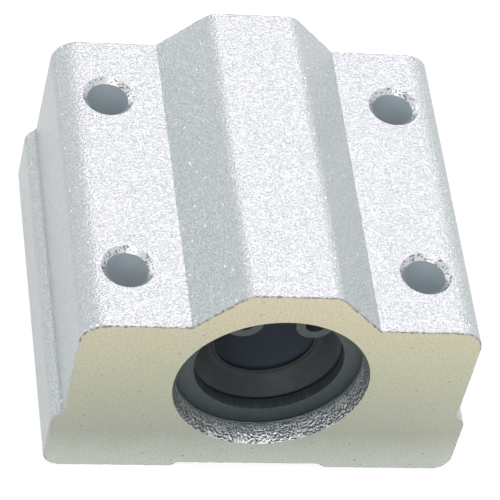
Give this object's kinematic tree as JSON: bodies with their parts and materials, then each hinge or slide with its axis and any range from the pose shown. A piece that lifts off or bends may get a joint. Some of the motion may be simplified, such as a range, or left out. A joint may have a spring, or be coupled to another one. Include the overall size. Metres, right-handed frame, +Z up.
{
  "type": "linear bearing block",
  "caption": "Extruded aluminium block that holds a sealed ball bushing for a round shaft, with tapped through holes at its shoulders.",
  "frame": {"origin": "centre of the base, midway between the two end faces", "axes": "+Z up from the base, +X across the block, +Y along the shaft"},
  "size_m": [0.034, 0.03, 0.022],
  "materials": {
    "extruded_aluminium": "blasted and clear anodised, with sawn ends",
    "phosphated_spring_steel": "dark phosphate",
    "bearing_steel": "ground",
    "moulded_resin": "moulded, satin",
    "black_rubber": "matte",
    "polished_steel": "polished"
  },
  "bodies": {
    "root": {"housing": "extruded_aluminium", "retaining_ring_front": "phosphated_spring_steel", "retaining_ring_rear": "phosphated_spring_steel", "outer_sleeve": "bearing_steel", "ball_cage": "moulded_resin", "end_seal_front": "black_rubber", "end_seal_rear": "black_rubber", "loaded_balls_1": "polished_steel", "return_balls_1": "polished_steel", "front_turn_balls_1": "polished_steel", "rear_turn_balls_1": "polished_steel", "loaded_balls_2": "polished_steel", "return_balls_2": "polished_steel", "front_turn_balls_2": "polished_steel", "rear_turn_balls_2": "polished_steel", "loaded_balls_3": "polished_steel", "return_balls_3": "polished_steel", "front_turn_balls_3": "polished_steel", "rear_turn_balls_3": "polished_steel", "loaded_balls_4": "polished_steel", "return_balls_4": "polished_steel", "front_turn_balls_4": "polished_steel", "rear_turn_balls_4": "polished_steel"}
  },
  "joints": []
}
